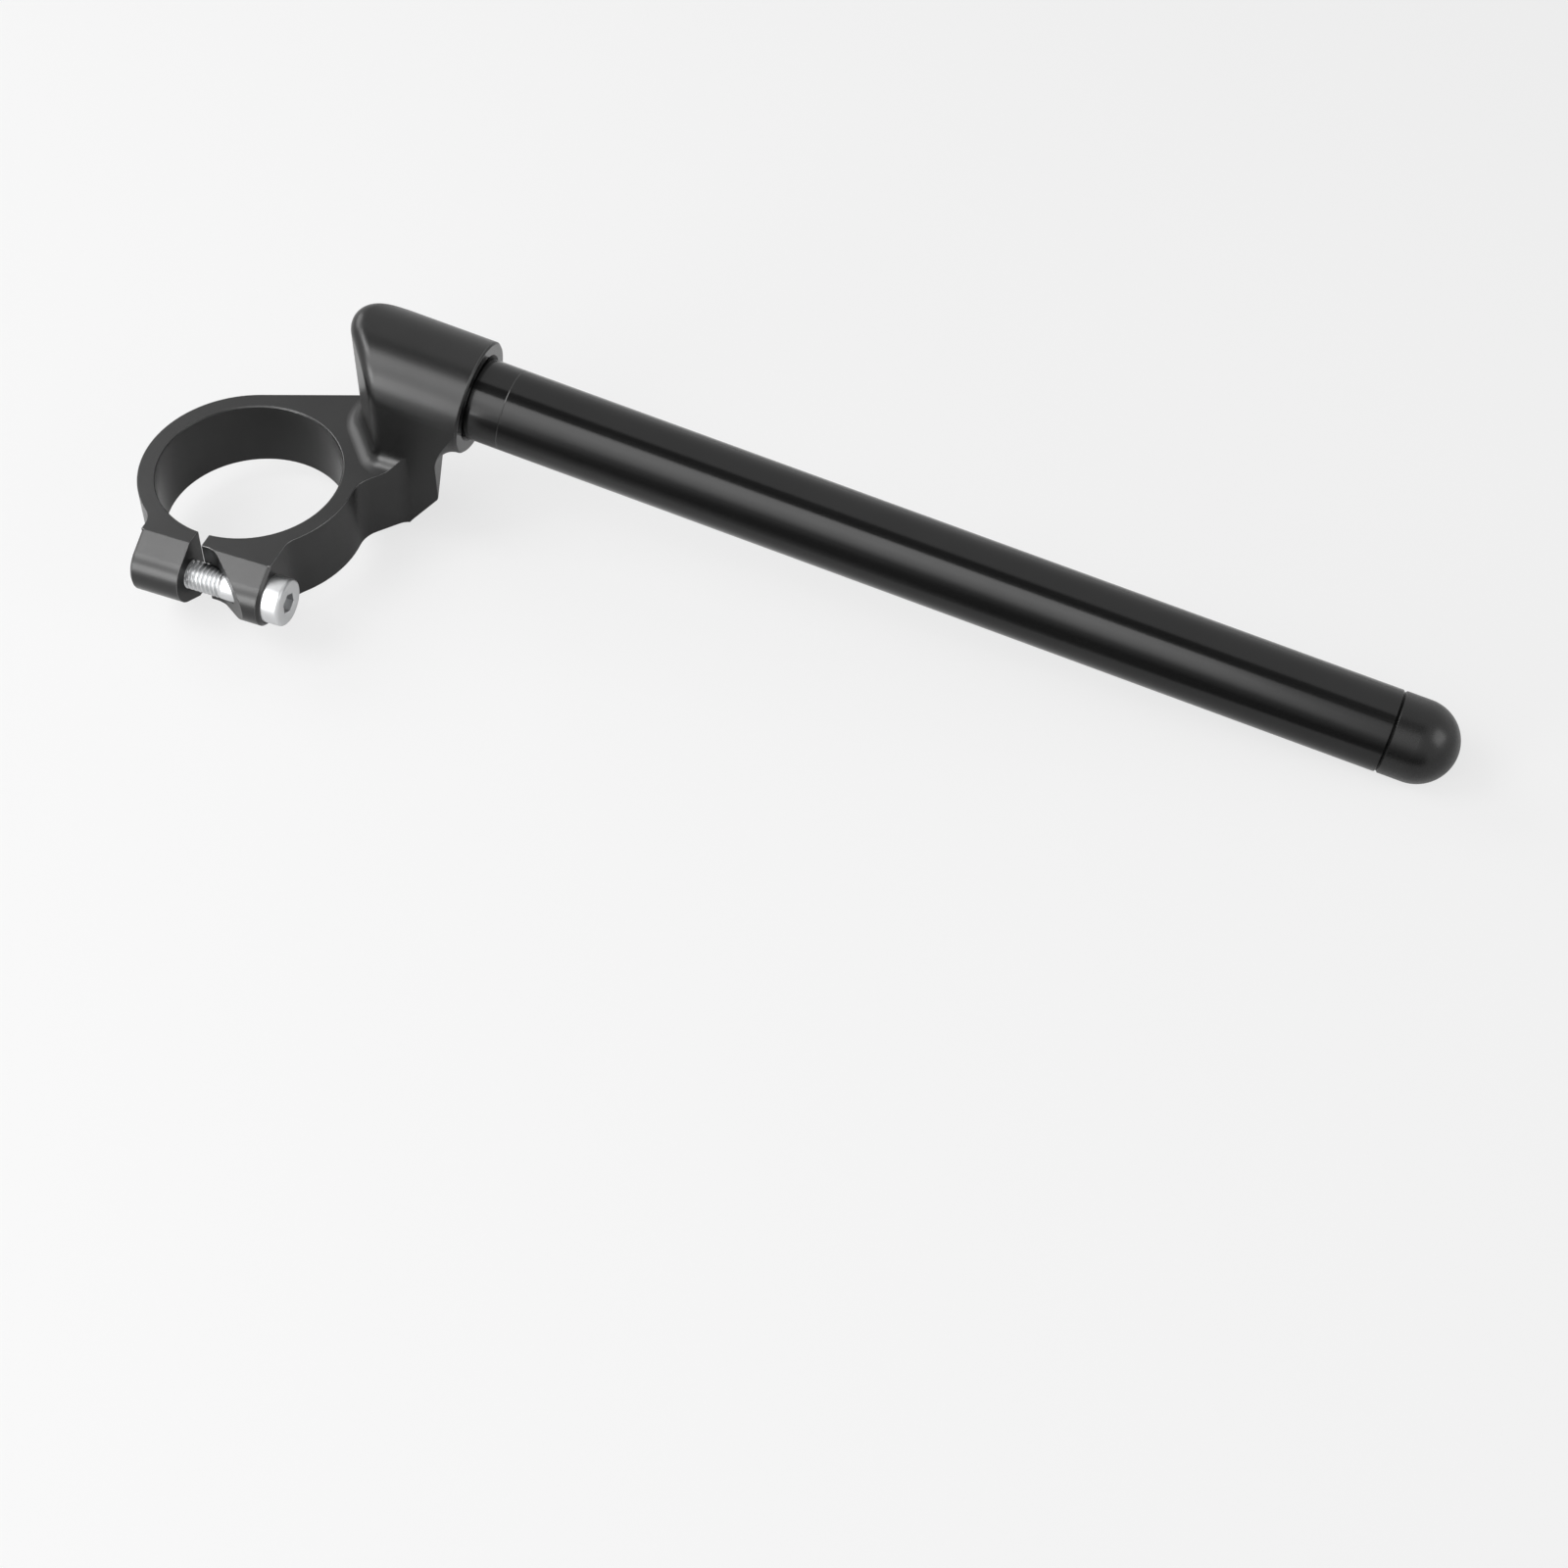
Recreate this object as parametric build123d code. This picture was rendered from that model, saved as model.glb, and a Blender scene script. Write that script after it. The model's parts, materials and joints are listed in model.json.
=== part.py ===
from build123d import *
import os
from math import acos, atan2, cos, hypot, radians, sin, tan

# Driving dimensions, in millimetres and degrees

# Split ring round the fork tube, its axis on Z
bore_d = 50.0
ring_wall = 4.6
clamp_h = 20.0
bore_chamfer = 0.3
slot_w = 3.4

# Lugs either side of the slot, drawn together by the bolt
far_lug_x = 16.0
bar_lug_x = 22.0
lug_crease_y = 29.6
lug_nose_r = 7.8
lug_blend_r = 6.0
lug_edge_chamfer = 0.8

# Relief milled in the bar-side lug, beside the slot
relief_floor_y = 29.4
relief_start_x = 3.3
relief_corner_r = 6.0
relief_angle = 39.5

# Clamp bolt, M8 with a low socket head
bolt_offset = 31.4
bolt_d = 8.0
bolt_length = 35.0
bolt_thread_length = 22.0
bolt_head_d = 13.0
bolt_head_h = 5.0
bolt_head_chamfer = 0.4
bolt_tip_chamfer = 1.0
hex_across_flats = 5.0
hex_depth = 2.7
hex_turn = 30.0
bolt_hole_clearance = 0.5
thread_clearance = 0.1

# Arm from the ring to the riser
arm_edge_angle = 21.4
near_edge_angle = 49.6
near_edge_blend_r = 8.0
near_corner_r = 5.0

# Bar axis: the centre of the riser's outer face, and the bar's direction
face_x = 54.5
face_y = 31.85
face_z = 27.4
bar_sweep = 1.3
bar_drop = 7.7

# Riser that carries the bar
boss_d = 31.0
wall_angle = 41.0
wall_distance = 33.3
nose_r = 10.0
riser_edge_r = 4.0
valley_r = 4.7
end_wall_x = 50.2
cove_r = 4.8
boss_rim_chamfer = 0.5
gusset_x = 41.2
gusset_angle = 52.9
gusset_corner_r = 3.0
near_corner_x = 40.4

# Bar and its plug
bar_d = 22.2
bar_wall = 3.0
bar_showing = 253.0
spigot_d = 21.8
socket_depth = 25.0
socket_clearance = 0.05
socket_end_gap = 0.3
mouth_chamfer = 1.2
bar_end_chamfer = 0.5
plug_collar = 7.0
plug_edge_chamfer = 0.5
plug_stem_length = 16.0
plug_stem_clearance = 0.1
plug_stem_chamfer = 1.0

# Cutting tools run past the faces they cut by this much
overrun = 5.0
# Added blends reach this far into the bodies that they join
bite = 0.5

# Sizes that follow from the driving ones
bore_r = bore_d / 2
ring_r = bore_r + ring_wall
half_h = clamp_h / 2
boss_r = boss_d / 2
bar_r = bar_d / 2
reach = bar_showing + ring_r

yaw = radians(bar_sweep)
pitch = radians(bar_drop)
bar_dir = Vector(cos(pitch) * cos(yaw), cos(pitch) * sin(yaw), -sin(pitch))
bar_side = Vector(-sin(yaw), cos(yaw), 0)
bar_plane = Plane(origin=(face_x, face_y, face_z), x_dir=bar_side, z_dir=bar_dir)
arm_dir = Vector(cos(radians(arm_edge_angle)), sin(radians(arm_edge_angle)))
arm_plane = Plane(origin=(0, 0, 0), x_dir=arm_dir, z_dir=(arm_dir.Y, -arm_dir.X, 0))
bolt_plane = Plane(origin=(bar_lug_x, -bolt_offset, 0), x_dir=(0, 1, 0), z_dir=(1, 0, 0))


def line_through(point, angle):
    """A plan line as a point and a unit direction."""
    return Vector(*point), Vector(cos(radians(angle)), sin(radians(angle)))


def crossing(first, second):
    """The point where two plan lines cross."""
    (p, d), (q, e) = first, second
    turn = d.X * e.Y - d.Y * e.X
    along = ((q.X - p.X) * e.Y - (q.Y - p.Y) * e.X) / turn
    return p + d * along


# Plan lines of the arm and the riser
far_line = line_through((-ring_r * arm_dir.Y, ring_r * arm_dir.X), arm_edge_angle)
wall_normal = Vector(cos(radians(wall_angle)), sin(radians(wall_angle)))
wall_line = line_through((wall_distance * wall_normal.X, wall_distance * wall_normal.Y), wall_angle - 90)
near_line = line_through((face_x + boss_r * sin(yaw), face_y - boss_r * cos(yaw)), bar_sweep)
boss_far_line = line_through((face_x - boss_r * sin(yaw), face_y + boss_r * cos(yaw)), bar_sweep)

nose_point = crossing(far_line, wall_line)
inner_point = crossing(wall_line, near_line)
far_point = crossing(far_line, boss_far_line)
end_line = line_through((end_wall_x * arm_dir.X, end_wall_x * arm_dir.Y), arm_edge_angle + 90)
end_far = crossing(far_line, end_line)
end_near = crossing(near_line, end_line)
corner_line = line_through((near_corner_x * arm_dir.X, near_corner_x * arm_dir.Y), arm_edge_angle + 90)
near_corner = crossing(near_line, corner_line)
near_edge_line = line_through((near_corner.X, near_corner.Y), near_edge_angle)


def at(sketch, point):
    """The sketch's corner nearest to a point."""
    return sketch.vertices().sort_by_distance((point.X, point.Y, 0))[0]


def clamp_outline():
    """Plan of the ring, the lugs as far as their creases, and the arm with the riser's foot."""
    lug_width = far_lug_x + bar_lug_x
    lug_middle = (bar_lug_x - far_lug_x) / 2
    lugs = Pos(lug_middle, -lug_crease_y / 2) * Rectangle(lug_width, lug_crease_y)
    near_edge_foot = near_edge_line[0] - near_edge_line[1] * ring_r
    arm = make_face(Polyline(
        (0, 0), far_line[0], end_far, end_near, near_corner, near_edge_foot, close=True))
    outline = Circle(ring_r) + lugs + arm
    far_root = Vector(-far_lug_x, -(ring_r**2 - far_lug_x**2) ** 0.5)
    bar_root = Vector(bar_lug_x, -(ring_r**2 - bar_lug_x**2) ** 0.5)
    outline = fillet(at(outline, far_root), lug_blend_r)
    outline = fillet(at(outline, bar_root), lug_blend_r)
    along = near_edge_line[1].dot(near_edge_line[0])
    back = along - (along**2 - near_edge_line[0].dot(near_edge_line[0]) + ring_r**2) ** 0.5
    arm_root = near_edge_line[0] - near_edge_line[1] * back
    outline = fillet(at(outline, arm_root), near_edge_blend_r)
    return fillet(at(outline, near_corner), near_corner_r)


def lug_noses():
    """The lugs' ends: bevels from the creases that run into a round nose about the bolt."""
    rise = hypot(lug_crease_y - bolt_offset, half_h)
    crease = atan2(half_h, bolt_offset - lug_crease_y)
    touch = crease + acos(lug_nose_r / rise)
    touch_y = lug_nose_r * cos(touch) - bolt_offset
    touch_z = lug_nose_r * sin(touch)
    profile = make_face([
        Line((-lug_crease_y, -half_h), (-lug_crease_y, half_h)),
        Line((-lug_crease_y, half_h), (touch_y, touch_z)),
        ThreePointArc((touch_y, touch_z), (-bolt_offset - lug_nose_r, 0), (touch_y, -touch_z)),
        Line((touch_y, -touch_z), (-lug_crease_y, -half_h)),
    ])
    noses = Pos(-far_lug_x, 0, 0) * extrude(Plane.YZ * profile, far_lug_x + bar_lug_x)
    ends = noses.edges().filter_by(lambda e: e.center().Y < -lug_crease_y - bite)
    ends = ends.filter_by(lambda e: abs(e.tangent_at(0.5).X) < bite)
    return chamfer(ends, lug_edge_chamfer)


def riser():
    """The riser's arched body, trimmed by the inner wall and the arm's far face, its back edges rounded."""
    depth = face_z + boss_r + half_h
    arch = Circle(boss_r) + Pos(0, -depth / 2) * Rectangle(boss_d, depth)
    length = face_x + ring_r
    body = extrude(bar_plane * arch, -length)
    outer_near = near_line[0] + near_line[1] * overrun
    outer_far = boss_far_line[0] + boss_far_line[1] * overrun
    plan = make_face(Polyline(nose_point, far_point, outer_far, outer_near, inner_point, close=True))
    body &= Pos(0, 0, -half_h) * extrude(plan, depth + half_h + boss_r)
    nose_edge = body.edges().filter_by(Axis.Z).sort_by_distance((nose_point.X, nose_point.Y, face_z))[0]
    body = fillet(nose_edge, nose_r)
    inner_edge = body.edges().filter_by(Axis.Z).sort_by_distance((inner_point.X, inner_point.Y, half_h))[0]
    far_edge = body.edges().filter_by(Axis.Z).sort_by_distance((far_point.X, far_point.Y, half_h))[0]
    arched = body.edges().filter_by(lambda e: e.geom_type in (GeomType.ELLIPSE, GeomType.BSPLINE))
    return fillet([inner_edge, far_edge, *arched], riser_edge_r)


def riser_end():
    """What is cut away outboard of the riser's end wall, so that the round boss stands out from a cove."""
    middle = arm_plane.to_local_coords(bar_plane.origin)
    block = arm_plane * Pos(end_wall_x + reach / 2, middle.Y, middle.Z) * Box(reach, reach, reach)
    block -= extrude(bar_plane * Circle(boss_r), reach, both=True)
    rim = block.faces().filter_by(Plane(origin=(0, 0, 0), z_dir=arm_dir)).sort_by(Axis((0, 0, 0), arm_dir))[0]
    return fillet(rim.inner_wires()[0].edges(), cove_r)


def gusset():
    """What is cut away below the riser's slanted underside."""
    slant = line_through((0, 0), gusset_angle)[1]
    foot = Vector(gusset_x, -half_h)
    corner = crossing((foot, slant), (Vector(end_wall_x, 0), Vector(0, 1)))
    low = foot - slant * clamp_h
    high = corner + Vector(0, 1) * gusset_corner_r
    profile = make_face(Polyline(low, corner, high, (reach, high.Y), (reach, low.Y), close=True))
    return extrude(arm_plane * fillet(at(profile, corner), gusset_corner_r), reach, both=True)


def valley(outline):
    """The concave blend between the arm's top face and the foot of the riser."""
    start = nose_point + far_line[1] * (nose_r + riser_edge_r + overrun)
    finish = near_line[0]
    path = FilletPolyline(start, nose_point, inner_point, finish, radius=(nose_r, riser_edge_r))
    path = Pos(0, 0, half_h) * path
    heading = path % 0
    section_plane = Plane(origin=path @ 0, x_dir=heading.cross(Vector(0, 0, 1)), z_dir=-heading)
    profile = make_face([
        Line((-bite, -bite), (valley_r, -bite)),
        Line((valley_r, -bite), (valley_r, 0)),
        RadiusArc((valley_r, 0), (0, valley_r), valley_r),
        Line((0, valley_r), (-bite, valley_r)),
        Line((-bite, valley_r), (-bite, -bite)),
    ])
    blend = sweep(section_plane * profile, path)
    return blend & Pos(0, 0, -half_h) * extrude(outline, clamp_h + valley_r)


def relief():
    """What is milled from the bar-side lug beside the slot: a flat, a round corner and a slanted run-out."""
    lean = radians(relief_angle)
    centre_y = -relief_floor_y - relief_corner_r
    half_turn = radians(90 - relief_angle / 2)
    middle = (relief_start_x + relief_corner_r * cos(half_turn), centre_y + relief_corner_r * sin(half_turn))
    corner = (relief_start_x + relief_corner_r * sin(lean), centre_y + relief_corner_r * cos(lean))
    front = -bolt_offset - lug_nose_r - overrun
    run_out = (corner[0] + (corner[1] - front) / tan(lean), front)
    profile = make_face([
        Line((0, -relief_floor_y), (relief_start_x, -relief_floor_y)),
        ThreePointArc((relief_start_x, -relief_floor_y), middle, corner),
        Line(corner, run_out),
        Line(run_out, (0, front)),
        Line((0, front), (0, -relief_floor_y)),
    ])
    return extrude(profile, clamp_h, both=True)


def bore():
    """The fork tube's bore with its chamfered edges."""
    wide = bore_r + bore_chamfer
    profile = make_face(Polyline(
        (0, -half_h - overrun), (wide, -half_h - overrun), (wide, -half_h), (bore_r, -half_h + bore_chamfer),
        (bore_r, half_h - bore_chamfer), (wide, half_h), (wide, half_h + overrun), (0, half_h + overrun),
        close=True))
    return revolve(Plane.XZ * profile, Axis.Z)


def slot():
    """The slit that lets the ring close."""
    length = bolt_offset + lug_nose_r + overrun
    return Pos(0, -length / 2, 0) * Box(slot_w, length, clamp_h + overrun)


def bolt_holes():
    """Clearance hole in the bar-side lug, tapped hole in the far one."""
    clear = Circle((bolt_d + bolt_hole_clearance) / 2)
    tapped = Circle(bolt_d / 2)
    return extrude(bolt_plane.offset(overrun) * clear, -bar_lug_x - overrun) + extrude(
        bolt_plane.offset(-bar_lug_x) * tapped, -far_lug_x - overrun)


def boss_rim():
    """What the chamfer takes off the boss's outer rim."""
    inner = boss_r - boss_rim_chamfer - bite
    outer = boss_r + bite
    profile = make_face(Polyline(
        (inner, bite), (outer, -boss_rim_chamfer - bite), (outer, bite), close=True))
    return bar_plane * revolve(Plane.XZ * profile, Axis.Z)


def socket():
    """The blind hole for the bar, chamfered at its mouth."""
    hole_r = (spigot_d + socket_clearance) / 2
    end = -socket_depth - socket_end_gap
    profile = make_face(Polyline(
        (0, end), (hole_r, end), (hole_r, -mouth_chamfer), (hole_r + mouth_chamfer, 0),
        (hole_r + mouth_chamfer, overrun), (0, overrun), close=True))
    return bar_plane * revolve(Plane.XZ * profile, Axis.Z)


def clamp_body():
    """Ring, lugs, arm and riser in one piece, with the bore, the slot and the holes."""
    outline = clamp_outline()
    body = Pos(0, 0, -half_h) * extrude(outline, clamp_h)
    body += lug_noses()
    body += riser()
    body += valley(outline)
    for tool in (riser_end(), gusset(), bore(), slot(), relief(), bolt_holes(), boss_rim(), socket()):
        body -= tool
    return body


def bar_tube():
    """The bar, with a spigot turned down to enter its socket."""
    inner_r = bar_r - bar_wall
    spigot_r = spigot_d / 2
    profile = make_face(Polyline(
        (inner_r, -socket_depth), (spigot_r - bar_end_chamfer, -socket_depth),
        (spigot_r, bar_end_chamfer - socket_depth), (spigot_r, 0), (bar_r, 0),
        (bar_r, bar_showing - bar_end_chamfer), (bar_r - bar_end_chamfer, bar_showing),
        (inner_r, bar_showing), close=True))
    return bar_plane * revolve(Plane.XZ * profile, Axis.Z)


def end_plug():
    """The plug: a stem in the bar's end, a collar and a domed head."""
    stem_r = bar_r - bar_wall - plug_stem_clearance / 2
    low = bar_showing - plug_stem_length
    dome = bar_showing + plug_collar
    shoulder = bar_showing + plug_edge_chamfer
    slant = bar_r * sin(radians(45))
    profile = make_face([
        Polyline(
            (0, dome + bar_r), (0, low), (stem_r - plug_stem_chamfer, low),
            (stem_r, low + plug_stem_chamfer), (stem_r, bar_showing),
            (bar_r - plug_edge_chamfer, bar_showing), (bar_r, shoulder), (bar_r, dome)),
        ThreePointArc((bar_r, dome), (slant, dome + slant), (0, dome + bar_r)),
    ])
    return bar_plane * revolve(Plane.XZ * profile, Axis.Z)


def clamp_bolt():
    """The bolt: a low round head with a hexagon socket, a plain shank and a threaded end."""
    head = extrude(bolt_plane * Circle(bolt_head_d / 2), bolt_head_h)
    head = chamfer(head.edges().group_by(Axis.X)[-1], bolt_head_chamfer)
    hexagon = RegularPolygon(hex_across_flats / 2, 6, major_radius=False, rotation=hex_turn)
    head -= extrude(bolt_plane.offset(bolt_head_h) * hexagon, -hex_depth)
    shank = extrude(bolt_plane * Circle(bolt_d / 2), -(bolt_length - bolt_thread_length))
    thread = extrude(bolt_plane * Circle((bolt_d - thread_clearance) / 2), -bolt_length)
    thread = chamfer(thread.edges().group_by(Axis.X)[0], bolt_tip_chamfer)
    return head + shank + thread


os.makedirs("parts", exist_ok=True)
export_step(clamp_body(), "parts/clamp_body.step")
export_step(bar_tube(), "parts/bar_tube.step")
export_step(end_plug(), "parts/end_plug.step")
export_step(clamp_bolt(), "parts/clamp_bolt.step")
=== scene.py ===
"""Clip-on handlebar: the finishes, the threaded bolt, the scored bar and the studio."""

import json
from math import cos, pi, radians, sin
from typing import NamedTuple

import bmesh
import bpy
from bpy.props import FloatProperty, FloatVectorProperty, PointerProperty
from mathutils import Matrix, Vector


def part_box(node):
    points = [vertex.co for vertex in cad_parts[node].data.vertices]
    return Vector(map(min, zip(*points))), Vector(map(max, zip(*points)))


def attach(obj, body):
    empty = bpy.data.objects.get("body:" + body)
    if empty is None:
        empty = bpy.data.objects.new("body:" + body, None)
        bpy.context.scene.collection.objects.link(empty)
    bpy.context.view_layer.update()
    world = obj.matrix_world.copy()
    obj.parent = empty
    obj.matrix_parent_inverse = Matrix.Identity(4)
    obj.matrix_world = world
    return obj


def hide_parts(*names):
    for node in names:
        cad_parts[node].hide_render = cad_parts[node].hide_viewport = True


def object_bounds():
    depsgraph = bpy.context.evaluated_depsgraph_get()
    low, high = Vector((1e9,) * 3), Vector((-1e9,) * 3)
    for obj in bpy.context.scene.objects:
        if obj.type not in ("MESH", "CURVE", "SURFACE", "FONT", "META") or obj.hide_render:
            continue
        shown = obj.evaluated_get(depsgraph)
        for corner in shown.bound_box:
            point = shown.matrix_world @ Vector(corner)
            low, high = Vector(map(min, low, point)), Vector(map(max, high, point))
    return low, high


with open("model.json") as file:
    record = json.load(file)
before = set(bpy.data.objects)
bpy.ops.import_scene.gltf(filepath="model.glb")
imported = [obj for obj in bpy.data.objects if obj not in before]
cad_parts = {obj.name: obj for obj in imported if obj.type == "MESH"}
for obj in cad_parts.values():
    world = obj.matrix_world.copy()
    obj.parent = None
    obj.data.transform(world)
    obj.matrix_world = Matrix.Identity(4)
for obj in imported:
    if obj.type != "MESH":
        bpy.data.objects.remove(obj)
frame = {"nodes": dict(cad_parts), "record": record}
cad_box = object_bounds()

bl_info = {
    "name": "Clip-on handlebar",
    "version": (1, 0, 0),
    "blender": (4, 5, 0),
    "location": "View3D > Sidebar > Clip-on",
    "description": "Dresses the packed handlebar and sets it in a pale studio",
    "category": "Object",
}

MM = 0.001
TURN = 2 * pi
SIXTH = TURN / 6
RIGHT = Vector((1, 0, 0))
BACK = Vector((0, 1, 0))
UP = Vector((0, 0, 1))

# Points around a turned piece, and the angle past which its edges stay crisp
SEGMENTS = 96
CRISP = radians(32)
# Loops in one turn of the bolt's thread, and in the round of its head's edge
THREAD_LOOPS = 10
ROUND_LOOPS = 6
# Flat crest and flat root of the thread, as shares of its pitch
CREST = 1 / 8
ROOT = 1 / 4
# Nearly all of a noise texture lies between these
NOISE = {"From Min": 0.3, "From Max": 0.7}
# Radians that a wave texture turns in one unit
WAVE_PHASE = 20

# Where the bar leaves the boss, and the way that it runs
grip = next(mount for mount in frame["record"]["mounts"] if mount["name"] == "grip")
grip_middle = Vector(grip["pos_m"])
bar_axis = Vector(grip["axis"]).normalized()
bar_mouth = grip_middle - bar_axis * grip["dims"]["length_mm"] / 2 * MM
bolt_low, bolt_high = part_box("clamp_bolt")
part_low, part_high = cad_box
part_middle = (part_low + part_high) / 2


class Softbox(NamedTuple):
    """A lamp's place and size, in metres and degrees"""

    faces: Vector
    along: Vector
    elevation: float
    width: float
    height: float
    # Share of its light that falls on matt surfaces, and share that is left at its lower edge
    spill: float
    low_edge: float = 1.0


class Flag(NamedTuple):
    """A black net's place and size, in metres and degrees"""

    faces: Vector
    along: Vector
    elevation: float
    distance: float
    width: float
    height: float
    # From its middle to where it starts to thin out, as a share of its height
    core: float


# From a lamp to the point that it faces, and the share of its height above which it is at full strength
LAMP_DISTANCE = 1.0
LAMP_FULL = 0.6
SOFTBOXES = {
    # In front: the bar's streak, which fades downwards, and the lugs' pale bevels
    "key": Softbox(Vector((-0.165, part_middle.y, part_middle.z)), RIGHT, 41, 1.17, 0.97, 0.5, 0.1),
    # High on the left, over the clamp
    "top": Softbox(Vector(), Vector((0.58, -0.814, 0)), 57.7, 0.5, 0.5, 1.15),
    # Low on the left, where the lugs' noses and the thread mirror it and the bar doesn't
    "low": Softbox(Vector((-0.5, part_middle.y, part_middle.z)), RIGHT, 13.5, 0.64, 0.47, 0.22),
    # On the left, for the bore and the riser's wall
    "left": Softbox(Vector(), Vector((-0.342, -0.940, 0)), 37, 0.7, 0.5, 1.15),
    # On the right, for the bolt's head
    "right": Softbox(part_middle, BACK, 28, 0.5, 0.45, 0.25),
}

# The edge of a flag, from its middle, as a share of its height
FLAG_EDGE = 0.501
FLAGS = {
    # The dark line above the bar's streak, with hard edges
    "top_flag": Flag(Vector((-0.05, part_middle.y, part_middle.z)), RIGHT, 80.5, 0.9, 1.2, 0.43, 0.5),
    # The dark line below the streak, close to the bar and with soft edges
    "low_flag": Flag(grip_middle + bar_axis * 0.015, bar_axis, -7, 0.05, 0.3, 0.072, 0.11),
}

# The floor's width against the part's diagonal, and its gap under the part
FLOOR_SCALE = 40
FLOOR_GAP = 0.1 * MM
# Width of the camera's frame in millimetres
SENSOR = 36.0


def to_linear(hex_colour):
    """An sRGB hex colour as linear red, green, blue and alpha."""
    values = [int(hex_colour[i:i + 2], 16) / 255 for i in (1, 3, 5)]
    return [v / 12.92 if v <= 0.04045 else ((v + 0.055) / 1.055) ** 2.4 for v in values] + [1.0]


def length(name, description, default):
    """A length property in metres, from millimetres."""
    return FloatProperty(
        name=name, description=description, default=default * MM, unit="LENGTH", precision=5)


def angle(name, description, default):
    """An angle property in radians, from degrees."""
    return FloatProperty(name=name, description=description, default=radians(default), subtype="ANGLE")


def power(name, description, default):
    """A lamp's power property in watts."""
    return FloatProperty(name=name, description=description, default=default, unit="POWER")


def share(name, description, default):
    """A property for a share, from 0 to 1."""
    return FloatProperty(
        name=name, description=description, default=default, subtype="FACTOR", min=0, max=1)


def colour(name, description, default):
    """A colour property from an sRGB hex colour."""
    return FloatVectorProperty(
        name=name, description=description, default=to_linear(default), size=4, subtype="COLOR", min=0, max=1)


class ClipOnClamp(bpy.types.PropertyGroup):
    """Looks of the clamp and the plug"""

    metal_colour: colour("Clamp", "Dyed oxide of the clamp", "#3E3E3E")
    # Pale colour on the broken edges: a painted highlight
    painted_edge_highlight_colour: colour("Edges", "Thin oxide on broken edges", "#909090")
    edge_radius: length("Edge radius", "Broken edges of the clamp", 0.35)
    # Lighter colour on the boss's end: a painted reflection
    painted_end_reflection_colour: colour("Faced end", "Dyed oxide on the boss's end", "#5C5C5C")
    plug_colour: colour("Plug", "Moulded plug", "#0E0E0E")


class ClipOnBar(bpy.types.PropertyGroup):
    """Sizes and looks of the bar"""

    diameter: length("Diameter", "Outside of the bar", 2 * grip["dims"]["r_mm"])
    showing: length("Showing", "From the boss's face to the plug", 253.0)
    wall: length("Wall", "Thickness of the tube", 3.0)
    spigot_diameter: length("Spigot diameter", "End turned down for the socket", 21.8)
    spigot_length: length("Spigot length", "Length inside the socket", 25.0)
    end_chamfer: length("End chamfer", "Broken edges at both ends", 0.5)
    mark_distance: length("Mark distance", "From the boss's face to the scored mark", 9.5)
    mark_width: length("Mark width", "Width of the scored mark", 0.3)
    mark_depth: length("Mark depth", "Depth of the scored mark", 0.1)
    mark_colour: colour("Mark", "Metal laid bare in the scored mark", "#555555")
    metal_colour: colour("Bar", "Dyed oxide of the bar", "#343434")


class ClipOnBolt(bpy.types.PropertyGroup):
    """Sizes and looks of the clamp bolt"""

    thread_diameter: length("Thread diameter", "Over the crests, M8 less its clearance", 7.9)
    pitch: length("Pitch", "Coarse pitch of M8", 1.25)
    thread_depth: length("Thread depth", "From crest to root", 0.77)
    thread_length: length("Thread length", "Threaded part of the shank", 22.0)
    shank_diameter: length("Shank diameter", "Plain part of the shank", 8.0)
    head_height: length("Head height", "Low head", 5.0)
    head_diameter: length("Head diameter", "Across the head", 13.0)
    head_round: length("Head edge", "Rounded edge of the head", 1.0)
    tip_chamfer: length("Tip chamfer", "Chamfer at the end of the thread", 1.0)
    socket_width: length("Socket width", "Across the flats of the hexagon", 5.0)
    socket_depth: length("Socket depth", "Depth of the hexagon", 2.7)
    socket_chamfer: length("Socket chamfer", "Countersink at the hexagon's mouth", 0.15)
    metal_colour: colour("Zinc", "Plated steel", "#CACBCC")


class ClipOnStage(bpy.types.PropertyGroup):
    """The studio"""

    paper_colour: colour("Paper", "Floor and background", "#F6F6F6")
    paper_eye: share("Own white", "Paper's own white to the camera, against its lit colour", 0.8)
    paper_mirror: share("Mirrored white", "Paper's own white in reflections", 0.15)
    fade_start: length("Fade start", "From the part to where the floor starts to turn plain white", 400.0)
    fade_end: length("Fade end", "From the part to where the floor is plain white", 1500.0)
    world_glow: share("Surroundings", "Light that the white surroundings cast", 0.05)
    key_power: power("Key light", "Large softbox in front", 8.4)
    top_power: power("Top light", "Small softbox over the clamp", 3.9)
    low_power: power("Low light", "Softbox low on the left", 6.0)
    left_power: power("Left light", "Softbox on the left", 3.6)
    right_power: power("Right light", "Softbox on the right", 1.8)
    flag_colour: colour("Flags", "Black net beside the light", "#0A0A0A")
    flag_cover: share("Flag cover", "Light that the net stops at its core", 0.9)
    azimuth: angle("Azimuth", "Camera, from -Y", 21.34)
    elevation: angle("Elevation", "Camera above the floor", 49.98)
    roll: angle("Roll", "Camera about its line of sight", 0.246)
    distance: length("Distance", "Camera to the point that it aims at", 827.0)
    aim: FloatVectorProperty(
        name="Aim", description="Point that the camera aims at",
        default=Vector((154.77, -2.46, -49.31)) * MM, size=3, subtype="XYZ", unit="LENGTH", precision=5)
    focal_length: FloatProperty(
        name="Focal length", description="On a 36 mm frame", default=70.46, unit="CAMERA")


def add(tree, kind, inputs=None, **settings):
    """Adds a node, sets its properties, and gives its inputs values or links."""
    made = tree.nodes.new(kind)
    for name, value in settings.items():
        setattr(made, name, value)
    for socket, value in (inputs or {}).items():
        if isinstance(value, bpy.types.NodeSocket):
            tree.links.new(value, made.inputs[socket])
        else:
            made.inputs[socket].default_value = value
    return made


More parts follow.
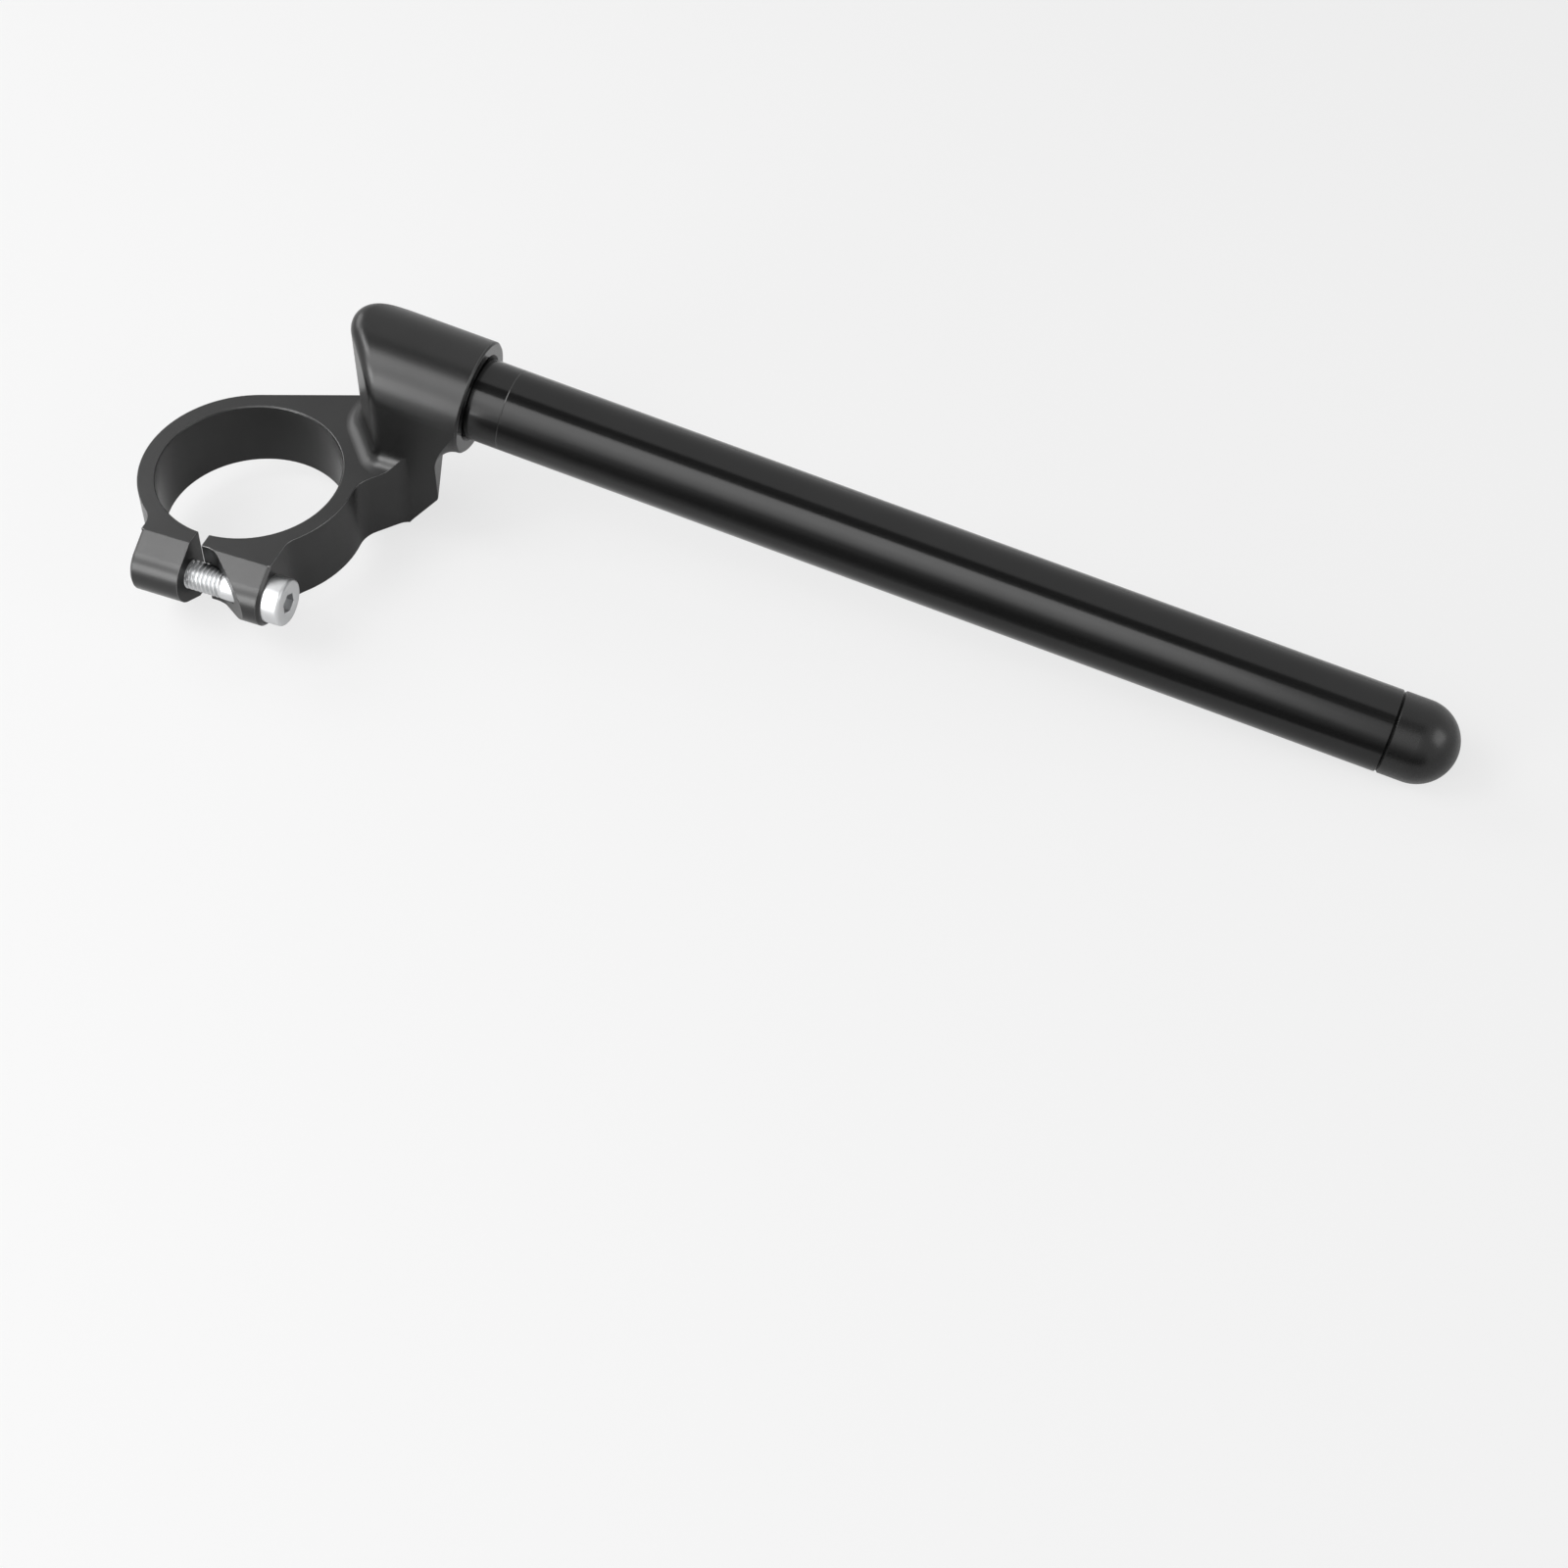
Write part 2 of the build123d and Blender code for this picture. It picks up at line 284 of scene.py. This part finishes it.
def new_material(name, **values):
    """A material with its tree, its shader and its object coordinates in metres."""
    material = bpy.data.materials.new(name)
    material.use_nodes = True
    tree = material.node_tree
    shader = tree.nodes["Principled BSDF"]
    for socket, value in values.items():
        shader.inputs[socket.replace("_", " ")].default_value = value
    place = add(tree, "ShaderNodeTexCoord").outputs["Object"]
    return material, tree, shader, place


def blasted_anodised(settings):
    """Aluminium, bead-blasted and dyed black."""
    # Blasting spreads each lamp into a soft grey sheen, with a fine even grain; the broken edges carry a
    # painted highlight, and the boss's end a painted reflection.
    # The oxide on it scatters a little light, so it is a shade less than pure metal.
    material, tree, shader, place = new_material("black_anodised_blasted_aluminium", Metallic=0.97)
    # The blast's pits are about 0.1 mm, drawn at 0.5 mm so that they show
    pits = add(tree, "ShaderNodeTexNoise", {"Vector": place, "Scale": 1 / (0.5 * MM), "Detail": 2.0})
    # Dye takes unevenly over patches of about 15 mm
    patches = add(tree, "ShaderNodeTexNoise", {"Vector": place, "Scale": 1 / (15 * MM), "Detail": 3.0})
    depth = add(tree, "ShaderNodeMapRange", {
        **NOISE, "Value": patches.outputs["Fac"], "To Min": 0.95, "To Max": 1.05})
    dye = add(tree, "ShaderNodeHueSaturation", {
        "Color": settings.metal_colour, "Value": depth.outputs["Result"]})
    # The boss's end is faced after blasting, so it is smoother; its lighter colour is a painted reflection
    normal = add(tree, "ShaderNodeNewGeometry").outputs["Normal"]
    end_on = add(tree, "ShaderNodeVectorMath", {0: normal, 1: bar_axis}, operation="DOT_PRODUCT")
    faced = add(tree, "ShaderNodeMapRange", {
        "Value": end_on.outputs["Value"], "From Min": 0.995, "From Max": 0.999})
    dye_with_end_reflection = add(tree, "ShaderNodeMix", {
        "Factor": faced.outputs["Result"], "A": dye.outputs["Color"], "B": settings.painted_end_reflection_colour},
        data_type="RGBA")
    # Painted highlight: broken edges are painted pale, where the rounded normal turns away from the surface's
    # own
    edges = add(tree, "ShaderNodeBevel", {"Radius": settings.edge_radius}, samples=6)
    agreement = add(tree, "ShaderNodeVectorMath", {
        0: edges.outputs["Normal"], 1: normal}, operation="DOT_PRODUCT")
    edge_highlight_mask = add(tree, "ShaderNodeMapRange", {
        "Value": agreement.outputs["Value"], "From Min": 0.98, "From Max": 0.8, "To Max": 0.8})
    shade = add(tree, "ShaderNodeMix", {
        "Factor": edge_highlight_mask.outputs["Result"], "A": dye_with_end_reflection.outputs["Result"], "B": settings.painted_edge_highlight_colour},
        data_type="RGBA")
    tree.links.new(shade.outputs["Result"], shader.inputs["Base Color"])
    sheen = add(tree, "ShaderNodeMapRange", {
        **NOISE, "Value": pits.outputs["Fac"], "To Min": 0.29, "To Max": 0.34})
    finish = add(tree, "ShaderNodeMapRange", {
        "Value": faced.outputs["Result"], "To Min": sheen.outputs["Result"], "To Max": 0.2})
    tree.links.new(finish.outputs["Result"], shader.inputs["Roughness"])
    grain = add(tree, "ShaderNodeBump", {
        "Height": pits.outputs["Fac"], "Strength": 0.08, "Distance": 0.02 * MM,
        "Normal": edges.outputs["Normal"]})
    tree.links.new(grain.outputs["Normal"], shader.inputs["Normal"])
    return material


def drawn_anodised(settings):
    """Aluminium tube, drawn, polished and dyed black."""
    # Drawing leaves fine lines along the tube, and polish keeps the lamps as long clear streaks.
    # Its thicker oxide scatters more light than the clamp's.
    material, tree, shader, place = new_material("black_anodised_drawn_aluminium", Metallic=0.85)
    # Die lines are about 0.3 mm apart and run for about 60 mm
    stretch = add(tree, "ShaderNodeMapping", {
        "Vector": place, "Scale": (1 / (0.3 * MM), 1 / (0.3 * MM), 1 / (60 * MM))}, vector_type="POINT")
    lines = add(tree, "ShaderNodeTexNoise", {
        "Vector": stretch.outputs["Vector"], "Scale": 1.0, "Detail": 2.0})
    # Dye takes unevenly over patches of about 20 mm
    patches = add(tree, "ShaderNodeTexNoise", {"Vector": place, "Scale": 1 / (20 * MM), "Detail": 3.0})
    depth = add(tree, "ShaderNodeMapRange", {
        **NOISE, "Value": patches.outputs["Fac"], "To Min": 0.96, "To Max": 1.04})
    dye = add(tree, "ShaderNodeHueSaturation", {
        "Color": settings.metal_colour, "Value": depth.outputs["Result"]})
    # The scored mark cuts through the oxide
    along = add(tree, "ShaderNodeSeparateXYZ", {"Vector": place}).outputs["Z"]
    on_mark = add(tree, "ShaderNodeMath", {
        0: along, 1: settings.mark_distance, 2: settings.mark_width / 2}, operation="COMPARE")
    shade = add(tree, "ShaderNodeMix", {
        "Factor": on_mark.outputs["Value"], "A": dye.outputs["Color"], "B": settings.mark_colour},
        data_type="RGBA")
    tree.links.new(shade.outputs["Result"], shader.inputs["Base Color"])
    polish = add(tree, "ShaderNodeMapRange", {
        **NOISE, "Value": lines.outputs["Fac"], "To Min": 0.15, "To Max": 0.20})
    tree.links.new(polish.outputs["Result"], shader.inputs["Roughness"])
    drag = add(tree, "ShaderNodeBump", {
        "Height": lines.outputs["Fac"], "Strength": 0.06, "Distance": 0.01 * MM})
    tree.links.new(drag.outputs["Normal"], shader.inputs["Normal"])
    return material


def moulded_nylon(settings):
    """Nylon plug, moulded in black."""
    # A spark-eroded mould leaves a fine pebble, so the plug is satin beside the polished bar.
    material, tree, shader, place = new_material("black_moulded_nylon", IOR=1.46)
    # The pebble is about 0.2 mm, drawn at 0.6 mm so that it shows
    pebble = add(tree, "ShaderNodeTexVoronoi", {
        "Vector": place, "Scale": 1 / (0.6 * MM)}, feature="SMOOTH_F1").outputs["Distance"]
    # The colour clouds over about 8 mm, as the melt flowed
    cloud = add(tree, "ShaderNodeTexNoise", {"Vector": place, "Scale": 1 / (8 * MM), "Detail": 2.0})
    depth = add(tree, "ShaderNodeMapRange", {
        **NOISE, "Value": cloud.outputs["Fac"], "To Min": 0.9, "To Max": 1.1})
    tint = add(tree, "ShaderNodeHueSaturation", {
        "Color": settings.plug_colour, "Value": depth.outputs["Result"]})
    tree.links.new(tint.outputs["Color"], shader.inputs["Base Color"])
    satin = add(tree, "ShaderNodeMapRange", {
        "Value": pebble, "From Max": 0.8, "To Min": 0.26, "To Max": 0.32})
    tree.links.new(satin.outputs["Result"], shader.inputs["Roughness"])
    bumps = add(tree, "ShaderNodeBump", {"Height": pebble, "Strength": 0.1, "Distance": 0.03 * MM})
    tree.links.new(bumps.outputs["Normal"], shader.inputs["Normal"])
    return material


def plated_steel(settings):
    """Steel bolt, turned, rolled and zinc-plated."""
    # Zinc keeps the turning rings of the head as a bright, slightly cloudy silver.
    material, tree, shader, place = new_material("zinc_plated_steel", Metallic=1.0)
    # Turning rings are about 0.15 mm apart, drawn at 0.79 mm so that they show
    rings = add(tree, "ShaderNodeTexWave", {
        "Vector": place, "Scale": TURN / WAVE_PHASE / (0.79 * MM), "Distortion": 1.0, "Detail": 2.0},
        wave_type="RINGS", rings_direction="Z")
    # Plating clouds over about 3 mm
    cloud = add(tree, "ShaderNodeTexNoise", {"Vector": place, "Scale": 1 / (3 * MM), "Detail": 4.0})
    depth = add(tree, "ShaderNodeMapRange", {
        **NOISE, "Value": cloud.outputs["Fac"], "To Min": 0.96, "To Max": 1.02})
    tint = add(tree, "ShaderNodeHueSaturation", {
        "Color": settings.metal_colour, "Value": depth.outputs["Result"]})
    tree.links.new(tint.outputs["Color"], shader.inputs["Base Color"])
    bright = add(tree, "ShaderNodeMapRange", {
        **NOISE, "Value": cloud.outputs["Fac"], "To Min": 0.36, "To Max": 0.42})
    tree.links.new(bright.outputs["Result"], shader.inputs["Roughness"])
    cuts = add(tree, "ShaderNodeBump", {
        "Height": rings.outputs["Fac"], "Strength": 0.08, "Distance": 0.01 * MM})
    tree.links.new(cuts.outputs["Normal"], shader.inputs["Normal"])
    return material


def seen_ray(tree):
    """1 for rays that show the background: to the camera, in a reflection or through glass."""
    path = add(tree, "ShaderNodeLightPath").outputs
    either = add(tree, "ShaderNodeMath", {
        0: path["Is Camera Ray"], 1: path["Is Glossy Ray"]}, operation="MAXIMUM")
    return add(tree, "ShaderNodeMath", {
        0: either.outputs["Value"], 1: path["Is Transmission Ray"]}, operation="MAXIMUM").outputs["Value"]


def pale_paper(settings):
    """Pale paper floor that keeps a soft shadow."""
    # Paper shows the lamps' fall-off and a grey far edge, so its own white takes over with distance.
    material, tree, shader, place = new_material(
        "pale_paper", Base_Color=settings.paper_colour, Roughness=0.9)
    seen = seen_ray(tree)
    to_camera = add(tree, "ShaderNodeLightPath").outputs["Is Camera Ray"]
    eye = add(tree, "ShaderNodeMath", {0: to_camera, 1: settings.paper_eye}, operation="MULTIPLY")
    mirror = add(tree, "ShaderNodeMath", {0: seen, 1: settings.paper_mirror}, operation="MULTIPLY")
    near = add(tree, "ShaderNodeMath", {
        0: eye.outputs["Value"], 1: mirror.outputs["Value"]}, operation="MAXIMUM")
    distance = add(tree, "ShaderNodeVectorMath", {0: place}, operation="LENGTH")
    far = add(tree, "ShaderNodeMapRange", {
        "Value": distance.outputs["Value"], "From Min": settings.fade_start, "From Max": settings.fade_end},
        interpolation_type="SMOOTHSTEP")
    white = add(tree, "ShaderNodeMath", {0: far.outputs["Result"], 1: seen}, operation="MULTIPLY")
    own = add(tree, "ShaderNodeMath", {
        0: near.outputs["Value"], 1: white.outputs["Value"]}, operation="MAXIMUM")
    glow = add(tree, "ShaderNodeEmission", {"Color": settings.paper_colour, "Strength": 1.0})
    both = add(tree, "ShaderNodeMixShader", {
        0: own.outputs["Value"], 1: shader.outputs["BSDF"], 2: glow.outputs["Emission"]})
    tree.links.new(both.outputs["Shader"], tree.nodes["Material Output"].inputs["Surface"])
    return material


def black_net(settings, core):
    """Black net, stretched over a frame and thinned out towards its long edges."""
    # Loose threads let more of the white behind show, so its reflection has a soft edge.
    material, tree, shader, place = new_material(
        "black_net", Base_Color=settings.flag_colour, Roughness=0.95)
    across = add(tree, "ShaderNodeSeparateXYZ", {"Vector": place}).outputs["Y"]
    off = add(tree, "ShaderNodeMath", {0: across}, operation="ABSOLUTE")
    cover = add(tree, "ShaderNodeMapRange", {
        "Value": off.outputs["Value"], "From Min": FLAG_EDGE, "From Max": core,
        "To Max": settings.flag_cover})
    gaps = add(tree, "ShaderNodeBsdfTransparent")
    net = add(tree, "ShaderNodeMixShader", {
        0: cover.outputs["Result"], 1: gaps.outputs["BSDF"], 2: shader.outputs["BSDF"]})
    tree.links.new(net.outputs["Shader"], tree.nodes["Material Output"].inputs["Surface"])
    return material


def turned(name, loops, origin, axis, across, hollow=False):
    """A piece turned about its own Z from loops of (height, radius at each angle), capped or hollow."""
    mesh = bmesh.new()
    angles = [TURN * i / SEGMENTS for i in range(SEGMENTS)]
    rings = [
        [mesh.verts.new((radius(a) * cos(a), radius(a) * sin(a), height)) for a in angles]
        for height, radius in loops]
    pairs = list(zip(rings, rings[1:]))
    if hollow:
        pairs.append((rings[-1], rings[0]))
    for low, high in pairs:
        for i in range(SEGMENTS):
            mesh.faces.new((low[i - 1], low[i], high[i], high[i - 1]))
    if not hollow:
        mesh.faces.new(rings[0])
        mesh.faces.new(rings[-1])
    bmesh.ops.recalc_face_normals(mesh, faces=mesh.faces)
    data = bpy.data.meshes.new(name)
    mesh.to_mesh(data)
    mesh.free()
    data.shade_smooth()
    data.set_sharp_from_angle(angle=CRISP)
    piece = bpy.data.objects.new(name, data)
    bpy.context.scene.collection.objects.link(piece)
    side = axis.cross(across)
    piece.matrix_world = Matrix.Translation(origin) @ Matrix((across, side, axis)).transposed().to_4x4()
    return piece


def plain(radius):
    """A round loop's radius."""
    return lambda angle: radius


def dress(piece, material):
    """Gives a piece its material."""
    piece.data.materials.clear()
    piece.data.materials.append(material)


class CLIPON_OT_clamp(bpy.types.Operator):
    """Blasted black finish on the clamp"""

    bl_idname = "clipon.clamp"
    bl_label = "Clamp"

    def execute(self, context):
        dress(frame["nodes"]["clamp_body"], blasted_anodised(context.scene.clip_on_clamp))
        return {"FINISHED"}


class CLIPON_OT_bar(bpy.types.Operator):
    """The bar with its scored mark"""

    bl_idname = "clipon.bar"
    bl_label = "Bar"

    def execute(self, context):
        sizes = context.scene.clip_on_bar
        outer = sizes.diameter / 2
        inner = outer - sizes.wall
        spigot = sizes.spigot_diameter / 2
        mark = sizes.mark_distance
        half = sizes.mark_width / 2
        profile = [
            (sizes.showing, inner),
            (sizes.showing, outer - sizes.end_chamfer),
            (sizes.showing - sizes.end_chamfer, outer),
            (mark + half, outer),
            (mark, outer - sizes.mark_depth),
            (mark - half, outer),
            (0, outer),
            (0, spigot),
            (sizes.end_chamfer - sizes.spigot_length, spigot),
            (-sizes.spigot_length, spigot - sizes.end_chamfer),
            (-sizes.spigot_length, inner),
        ]
        loops = [(height, plain(radius)) for height, radius in profile]
        bar = turned("bar", loops, bar_mouth, bar_axis, bar_axis.cross(UP).normalized(), hollow=True)
        dress(bar, drawn_anodised(sizes))
        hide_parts("bar_tube")
        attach(bar, "root")
        return {"FINISHED"}


class CLIPON_OT_plug(bpy.types.Operator):
    """Moulded finish on the plug"""

    bl_idname = "clipon.plug"
    bl_label = "Plug"

    def execute(self, context):
        dress(frame["nodes"]["end_plug"], moulded_nylon(context.scene.clip_on_clamp))
        return {"FINISHED"}


class CLIPON_OT_bolt(bpy.types.Operator):
    """The clamp bolt with its rolled thread and hexagon socket"""

    bl_idname = "clipon.bolt"
    bl_label = "Bolt"

    def execute(self, context):
        sizes = context.scene.clip_on_bolt
        total = bolt_high.x - bolt_low.x
        seat = total - sizes.head_height
        loops = self.thread(sizes) + self.shank(sizes, seat) + self.head(sizes, seat, total)
        tip = Vector((bolt_low.x, (bolt_low.y + bolt_high.y) / 2, (bolt_low.z + bolt_high.z) / 2))
        bolt = turned("bolt", loops, tip, RIGHT, BACK)
        dress(bolt, plated_steel(sizes))
        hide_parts("clamp_bolt")
        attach(bolt, "root")
        return {"FINISHED"}

    def thread(self, sizes):
        """Right-hand thread from the tip, run out into the shank over its last turn."""
        outer = sizes.thread_diameter / 2
        flank = (1 - CREST - ROOT) / 2
        count = round(sizes.thread_length / sizes.pitch * THREAD_LOOPS)

        def loop(index):
            height = index * sizes.pitch / THREAD_LOOPS
            cone = outer - sizes.tip_chamfer + height
            run_out = min(1, (sizes.thread_length - height) / sizes.pitch)

            def radius(angle):
                phase = (height / sizes.pitch - angle / TURN) % 1
                groove = min(1, max(0, (abs(phase - 0.5) - CREST / 2) / flank))
                return min(cone, outer - groove * sizes.thread_depth * run_out)

            return height, radius

        return [loop(i) for i in range(count + 1)]

    def shank(self, sizes, seat):
        """Plain shank up to the head's seat."""
        radius = sizes.shank_diameter / 2
        return [(sizes.thread_length, plain(radius)), (seat, plain(radius))]

    def head(self, sizes, seat, total):
        """Low head with a rounded edge and a countersunk hexagon socket."""
        outer = sizes.head_diameter / 2
        edge = sizes.head_round
        flat = sizes.socket_width / 2

        def hexagon(angle):
            return flat / cos((angle - SIXTH / 2) % SIXTH - SIXTH / 2)

        steps = [TURN / 4 * i / ROUND_LOOPS for i in range(ROUND_LOOPS + 1)]
        rounded = [(total - edge + edge * sin(a), plain(outer - edge + edge * cos(a))) for a in steps]
        mouth = flat / cos(SIXTH / 2) + sizes.socket_chamfer
        sink = sizes.socket_chamfer * cos(SIXTH / 2)
        return [
            (seat, plain(outer)),
            *rounded,
            (total, plain(mouth)),
            (total - sink, hexagon),
            (total - sizes.socket_depth, hexagon),
        ]


class CLIPON_OT_stage(bpy.types.Operator):
    """Pale floor, soft lights, white surroundings and the camera"""

    bl_idname = "clipon.stage"
    bl_label = "Stage"

    def execute(self, context):
        scene = context.scene
        sizes = scene.clip_on_stage
        scene.view_settings.view_transform = "Standard"
        self.floor(sizes)
        self.surroundings(scene, sizes)
        for name, lamp in SOFTBOXES.items():
            self.softbox(name, lamp, getattr(sizes, name + "_power"))
        for name, flag in FLAGS.items():
            self.flag(name, flag, sizes)
        self.camera(scene, sizes)
        return {"FINISHED"}

    def floor(self, sizes):
        """A wide sheet of paper just under the part."""
        width = FLOOR_SCALE * (part_high - part_low).length
        place = (part_middle.x, part_middle.y, part_low.z - FLOOR_GAP)
        bpy.ops.mesh.primitive_plane_add(size=width, location=place)
        floor = bpy.context.object
        floor.name = "floor"
        dress(floor, pale_paper(sizes))

    def surroundings(self, scene, sizes):
        """White to the eye and in reflections, and dim as a lamp."""
        world = bpy.data.worlds.new("studio")
        world.use_nodes = True
        scene.world = world
        tree = world.node_tree
        level = add(tree, "ShaderNodeMapRange", {"Value": seen_ray(tree), "To Min": sizes.world_glow})
        sky = tree.nodes["Background"]
        sky.inputs["Color"].default_value = sizes.paper_colour
        tree.links.new(level.outputs["Result"], sky.inputs["Strength"])

    def facing(self, item, distance):
        """A place beside a level line, turned towards it, with the item's width along the line."""
        tilt = radians(item.elevation)
        out = item.along.cross(UP).normalized()
        back = out * cos(tilt) + UP * sin(tilt)
        turn = Matrix((item.along, back.cross(item.along), back)).transposed().to_4x4()
        return Matrix.Translation(item.faces + back * distance) @ turn

    def softbox(self, name, lamp, watts):
        """A rectangular lamp that may dim towards its lower edge."""
        light = bpy.data.lights.new(name, "AREA")
        light.shape = "RECTANGLE"
        light.size = lamp.width
        light.size_y = lamp.height
        light.energy = watts
        light.diffuse_factor = lamp.spill
        light.use_nodes = True
        tree = light.node_tree
        sheet = add(tree, "ShaderNodeTexCoord").outputs["UV"]
        up = add(tree, "ShaderNodeSeparateXYZ", {"Vector": sheet}).outputs["Y"]
        level = add(tree, "ShaderNodeMapRange", {
            "Value": up, "From Max": LAMP_FULL, "To Min": lamp.low_edge})
        tree.links.new(level.outputs["Result"], tree.nodes["Emission"].inputs["Strength"])
        holder = bpy.data.objects.new(name, light)
        holder.matrix_world = self.facing(lamp, LAMP_DISTANCE)
        bpy.context.scene.collection.objects.link(holder)

    def flag(self, name, flag, sizes):
        """A black net that only reflections show."""
        bpy.ops.mesh.primitive_plane_add(size=1)
        net = bpy.context.object
        net.name = name
        net.matrix_world = self.facing(flag, flag.distance) @ Matrix.Diagonal((flag.width, flag.height, 1, 1))
        net.visible_camera = net.visible_diffuse = net.visible_shadow = False
        dress(net, black_net(sizes, flag.core))

    def camera(self, scene, sizes):
        """The photograph's view: it aims at a point in front of the part and below it."""
        flat = cos(sizes.elevation)
        back = Vector((sin(sizes.azimuth) * flat, -cos(sizes.azimuth) * flat, sin(sizes.elevation)))
        data = bpy.data.cameras.new("camera")
        data.lens = sizes.focal_length
        data.sensor_width = SENSOR
        holder = bpy.data.objects.new("camera", data)
        scene.collection.objects.link(holder)
        turn = (-back).to_track_quat("-Z", "Y").to_matrix() @ Matrix.Rotation(sizes.roll, 3, "Z")
        holder.matrix_world = Matrix.Translation(sizes.aim + back * sizes.distance) @ turn.to_4x4()
        scene.camera = holder


class CLIPON_PT_panel(bpy.types.Panel):
    """Steps that dress the handlebar"""

    bl_idname = "CLIPON_PT_panel"
    bl_label = "Clip-on handlebar"
    bl_space_type = "VIEW_3D"
    bl_region_type = "UI"
    bl_category = "Clip-on"

    def draw(self, context):
        for step in STEPS:
            self.layout.operator(step.bl_idname)
        for group in GROUPS:
            settings = getattr(context.scene, group)
            for name in settings.bl_rna.properties.keys():
                if name not in {"rna_type", "name"}:
                    self.layout.prop(settings, name)


GROUPS = {
    "clip_on_clamp": ClipOnClamp,
    "clip_on_bar": ClipOnBar,
    "clip_on_bolt": ClipOnBolt,
    "clip_on_stage": ClipOnStage,
}
STEPS = [CLIPON_OT_clamp, CLIPON_OT_bar, CLIPON_OT_plug, CLIPON_OT_bolt, CLIPON_OT_stage]
CLASSES = [*GROUPS.values(), *STEPS, CLIPON_PT_panel]


def register():
    """Adds the classes, and a group of settings for each on the scene."""
    for cls in CLASSES:
        bpy.utils.register_class(cls)
    for name, group in GROUPS.items():
        setattr(bpy.types.Scene, name, PointerProperty(type=group))


def unregister():
    """Takes the settings and the classes away again."""
    for name in GROUPS:
        delattr(bpy.types.Scene, name)
    for cls in reversed(CLASSES):
        bpy.utils.unregister_class(cls)


def main():
    """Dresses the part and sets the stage."""
    register()
    bpy.ops.clipon.clamp()
    bpy.ops.clipon.bar()
    bpy.ops.clipon.plug()
    bpy.ops.clipon.bolt()
    bpy.ops.clipon.stage()


if __name__ == "__main__":
    main()
